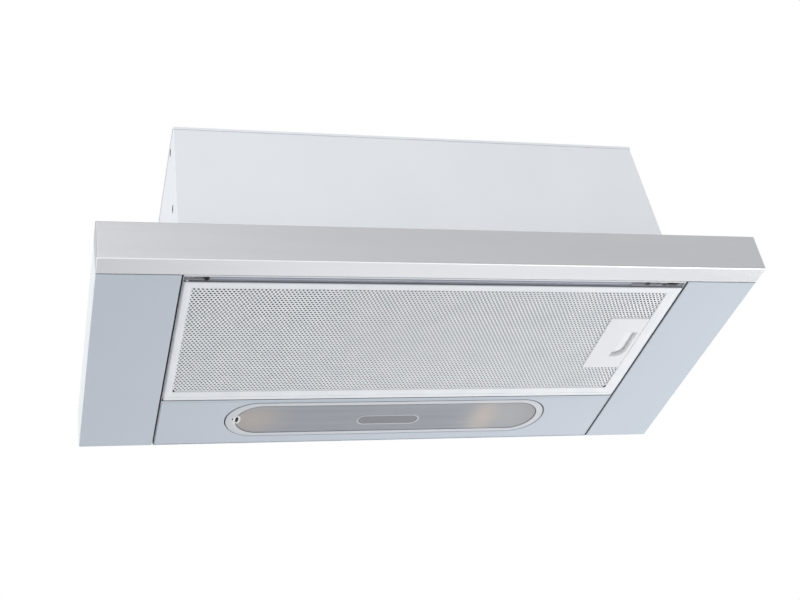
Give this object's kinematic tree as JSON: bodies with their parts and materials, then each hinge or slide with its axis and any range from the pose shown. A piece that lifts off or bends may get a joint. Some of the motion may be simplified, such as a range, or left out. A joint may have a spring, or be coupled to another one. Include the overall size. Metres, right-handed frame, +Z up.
{
  "type": "pull out range hood",
  "caption": "Slim pull out range hood: narrow motor body over a sliding drawer with a steel fascia, a hinged grease filter, an oblong lamp and a round duct collar.",
  "frame": {"origin": "under the middle of the closed hood, on the plane of its underside", "axes": "+X to the cook's right, +Y back to the wall, +Z up"},
  "size_m": [0.598, 0.297, 0.207],
  "materials": {
    "painted_body": "fine matt powder coat",
    "painted_pan": "satin grey-blue paint",
    "fascia_steel": "brushed along its length",
    "zinc_steel": "zinc plated, satin",
    "rail_paint": "satin",
    "filter_aluminium": "bright anodised",
    "filter_layers": "dark, dull expanded metal",
    "white_plastic": "fine moulded grain",
    "grey_plastic": "fine moulded grain",
    "black_plastic": "fine moulded grain",
    "nylon": "smooth",
    "grommet_rubber": "matt",
    "bare_steel": "turned",
    "black_screw": "blackened",
    "motor_iron": "laminated, dull",
    "lens_plastic": "frosted moulding",
    "bulb_glass": "clear"
  },
  "bodies": {
    "hood": {"body_shell": "painted_body", "top_panel": "painted_body", "underside_pan": "painted_pan", "front_rail": "rail_paint", "rail_screw": "black_screw", "switch_housing": "grey_plastic", "latch_keeper": "zinc_steel", "body_screws": "bare_steel", "slide_rail_left": "zinc_steel", "slide_rail_right": "zinc_steel", "rail_axles": "bare_steel", "volute_left": "black_plastic", "volute_right": "black_plastic", "inlet_guard": "black_plastic", "motor": "motor_iron", "motor_bracket": "zinc_steel", "motor_grommets": "grommet_rubber", "blower_screws": "bare_steel", "outlet_collar": "black_plastic", "collar_screws": "bare_steel", "flap_pin": "bare_steel", "terminal_box": "white_plastic", "terminal_cover": "white_plastic", "capacitor": "grey_plastic", "cable_gland": "black_plastic", "lamp_tray": "painted_body", "lamp_roof": "painted_body", "lamp_holders": "white_plastic", "bulb_left": "bulb_glass", "bulb_right": "bulb_glass"},
    "drawer": {"fascia": "fascia_steel", "fascia_bar": "grey_plastic", "side_tray_left": "painted_pan", "side_tray_right": "painted_pan", "runner_left": "zinc_steel", "runner_right": "zinc_steel", "runner_axles": "bare_steel", "filter_carrier": "zinc_steel", "drawer_filter_frame": "filter_aluminium", "drawer_filter_mesh": "filter_aluminium", "drawer_filter_pack": "filter_layers", "drawer_screws": "bare_steel"},
    "grease_filter": {"filter_frame": "filter_aluminium", "filter_mesh": "filter_aluminium", "filter_pack": "filter_layers", "latch_guide": "white_plastic"},
    "filter_latch": {"latch_handle": "white_plastic"},
    "lamp_cover": {"lamp_lens": "lens_plastic", "lens_screw": "black_screw"},
    "fan": {"impeller": "grey_plastic", "impeller_shaft": "bare_steel"},
    "front_damper": {"front_flap": "grey_plastic"},
    "rear_damper": {"rear_flap": "grey_plastic"},
    "speed_switch": {"speed_slider": "black_plastic"},
    "light_switch": {"light_slider": "black_plastic"},
    "left_rail_roller": {"rail_roller_left": "nylon"},
    "right_rail_roller": {"rail_roller_right": "nylon"},
    "left_runner_roller": {"runner_roller_left": "nylon"},
    "right_runner_roller": {"runner_roller_right": "nylon"}
  },
  "joints": [
    {"name": "drawer_slide", "type": "slide", "parent": "hood", "child": "drawer", "axis": [0, -1, 0], "range_m": [0, 0.15]},
    {"name": "filter_tilt", "type": "hinge", "parent": "hood", "child": "grease_filter", "pos_m": [-0.2245, -0.0251, 0.003], "axis": [0, 1, 0], "range_deg": [0, 60]},
    {"name": "latch_slide", "type": "slide", "parent": "grease_filter", "child": "filter_latch", "axis": [-1, 0, 0], "range_m": [0, 0.006], "stiffness_N_per_m": 300, "springref_m": -0.002},
    {"name": "lens_tilt", "type": "hinge", "parent": "hood", "child": "lamp_cover", "pos_m": [0.166, 0.1045, 0.0025], "axis": [0, -1, 0], "range_deg": [0, 25]},
    {"name": "fan_spin", "type": "hinge", "parent": "hood", "child": "fan", "pos_m": [0, -0.0345, 0.111], "axis": [1, 0, 0], "continuous": true},
    {"name": "front_flap_swing", "type": "hinge", "parent": "hood", "child": "front_damper", "pos_m": [0, 0.0175, 0.185], "axis": [-1, 0, 0], "range_deg": [0, 75]},
    {"name": "rear_flap_swing", "type": "hinge", "parent": "hood", "child": "rear_damper", "pos_m": [0, 0.0175, 0.185], "axis": [1, 0, 0], "range_deg": [0, 75]},
    {"name": "speed_slide", "type": "slide", "parent": "hood", "child": "speed_switch", "axis": [-1, 0, 0], "range_m": [0, 0.024]},
    {"name": "light_slide", "type": "slide", "parent": "hood", "child": "light_switch", "axis": [-1, 0, 0], "range_m": [0, 0.006]},
    {"name": "left_rail_roller_spin", "type": "hinge", "parent": "hood", "child": "left_rail_roller", "pos_m": [-0.2352, -0.1025, 0.0206], "axis": [1, 0, 0], "range_deg": [0, 1180]},
    {"name": "left_runner_roller_spin", "type": "hinge", "parent": "drawer", "child": "left_runner_roller", "pos_m": [-0.2352, 0.1265, 0.0206], "axis": [1, 0, 0], "range_deg": [0, 1180]},
    {"name": "right_rail_roller_spin", "type": "hinge", "parent": "hood", "child": "right_rail_roller", "pos_m": [0.2352, -0.1025, 0.0206], "axis": [1, 0, 0], "range_deg": [0, 1180]},
    {"name": "right_runner_roller_spin", "type": "hinge", "parent": "drawer", "child": "right_runner_roller", "pos_m": [0.2352, 0.1265, 0.0206], "axis": [1, 0, 0], "range_deg": [0, 1180]}
  ],
  "couplings": [
    {"joint": "left_rail_roller_spin", "follows": "drawer_slide", "rad_per_m": 136.99},
    {"joint": "left_runner_roller_spin", "follows": "drawer_slide", "rad_per_m": 136.99},
    {"joint": "right_rail_roller_spin", "follows": "drawer_slide", "rad_per_m": 136.99},
    {"joint": "right_runner_roller_spin", "follows": "drawer_slide", "rad_per_m": 136.99}
  ]
}
